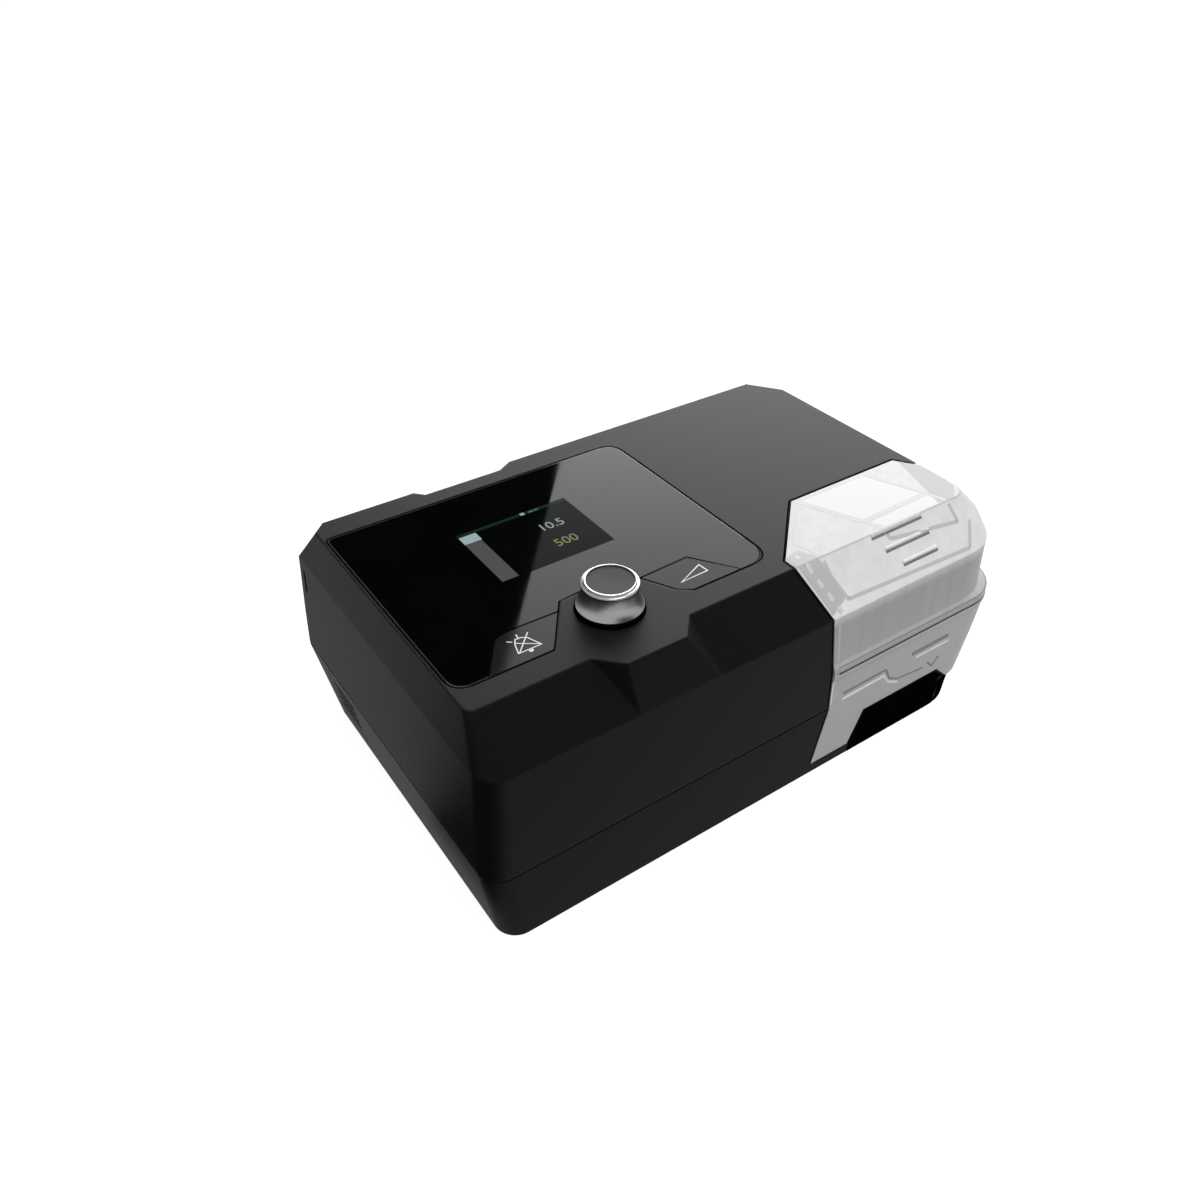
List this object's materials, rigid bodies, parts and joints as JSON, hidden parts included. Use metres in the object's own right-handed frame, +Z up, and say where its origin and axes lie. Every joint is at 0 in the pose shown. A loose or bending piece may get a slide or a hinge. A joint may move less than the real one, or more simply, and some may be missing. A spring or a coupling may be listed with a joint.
{
  "type": "cpap machine",
  "caption": "Bedside CPAP machine: faceted charcoal case, glass control panel with screen and press caps, dial knob, docked frosted water chamber and round air outlet.",
  "frame": {"origin": "bottom centre of the whole machine, on the table under its feet", "axes": "+X to the right end where the water chamber docks, +Y to the back where the hose leaves, +Z up"},
  "size_m": [0.265, 0.1728, 0.114],
  "materials": {
    "case": "fine-textured charcoal moulding",
    "panel_glass": "polished, printed black behind",
    "screen": "lit colour display",
    "cap": "gloss black with white pictogram",
    "knob_metal": "fine turned",
    "knob_rim": "polished",
    "knob_inlay": "satin dark grey",
    "frosted": "frosted translucent",
    "black_plastic": "plain moulding",
    "grey_plastic": "plain moulding",
    "white_plastic": "plain moulding",
    "silicone": "soft translucent grey",
    "foot_rubber": "matt black",
    "steel": "bright plated",
    "plate_metal": "anodised",
    "insulation": "pressed fibre",
    "foam": "open cell foam",
    "filter": "non-woven pad",
    "board": "solder-masked",
    "motor": "satin"
  },
  "bodies": {
    "housing": {"upper_shell": "case", "bay_liner": "case", "outlet_niche": "case", "case_pillars": "black_plastic", "lower_shell": "case", "display_glass": "panel_glass", "lcd_screen": "screen", "encoder_body": "steel", "button_switches": "black_plastic", "main_board": "board", "board_screws": "steel", "blower_base": "white_plastic", "blower_cover": "white_plastic", "blower_motor": "motor", "blower_mounts": "silicone", "inlet_muffler": "grey_plastic", "muffler_foam": "foam", "air_filter": "filter", "pressure_duct": "grey_plastic", "outlet_duct": "grey_plastic", "outlet_connector": "black_plastic", "port_seals": "silicone", "dc_socket": "black_plastic", "card_socket": "steel", "heater_plate": "plate_metal", "heater_insulator": "insulation", "rubber_feet": "foot_rubber", "case_screws": "steel"},
    "knob_press": {"encoder_plunger": "steel"},
    "knob": {"knob_grip": "knob_metal", "knob_ring": "knob_rim", "knob_disc": "knob_inlay", "encoder_shaft": "steel"},
    "mute": {"mute_button": "cap"},
    "ramp": {"ramp_button": "cap"},
    "rotor": {"impeller": "white_plastic", "rotor_shaft": "steel"},
    "chamber": {"chamber_tub": "frosted", "chamber_base_plate": "plate_metal", "chamber_gasket": "silicone"},
    "lid": {"chamber_lid": "frosted", "chamber_baffle": "frosted"},
    "cover": {"filter_cover": "black_plastic"}
  },
  "joints": [
    {"name": "knob_push", "type": "slide", "parent": "housing", "child": "knob_press", "axis": [0, 0, -1], "range_m": [0, 0.0006], "stiffness_N_per_m": 4000, "springref_m": -0.0004},
    {"name": "knob_turn", "type": "hinge", "parent": "knob_press", "child": "knob", "pos_m": [-0.06, -0.0518, 0.1015], "axis": [0, 0, 1], "continuous": true},
    {"name": "mute_push", "type": "slide", "parent": "housing", "child": "mute", "axis": [0, 0, -1], "range_m": [0, 0.0006], "stiffness_N_per_m": 1500, "springref_m": -0.0005},
    {"name": "ramp_push", "type": "slide", "parent": "housing", "child": "ramp", "axis": [0, 0, -1], "range_m": [0, 0.0006], "stiffness_N_per_m": 1500, "springref_m": -0.0005},
    {"name": "rotor_spin", "type": "hinge", "parent": "housing", "child": "rotor", "pos_m": [-0.0445, -0.0076, 0.046], "axis": [0, 0, 1], "continuous": true},
    {"name": "chamber_slide", "type": "slide", "parent": "housing", "child": "chamber", "axis": [0, -1, 0], "range_m": [0, 0.06]},
    {"name": "lid_lift", "type": "slide", "parent": "chamber", "child": "lid", "axis": [0, 0, 1], "range_m": [0, 0.035]},
    {"name": "cover_tilt", "type": "hinge", "parent": "housing", "child": "cover", "pos_m": [-0.12748, 0.0427, 0.0086], "axis": [0, -1, 0], "range_deg": [0, 60]}
  ]
}
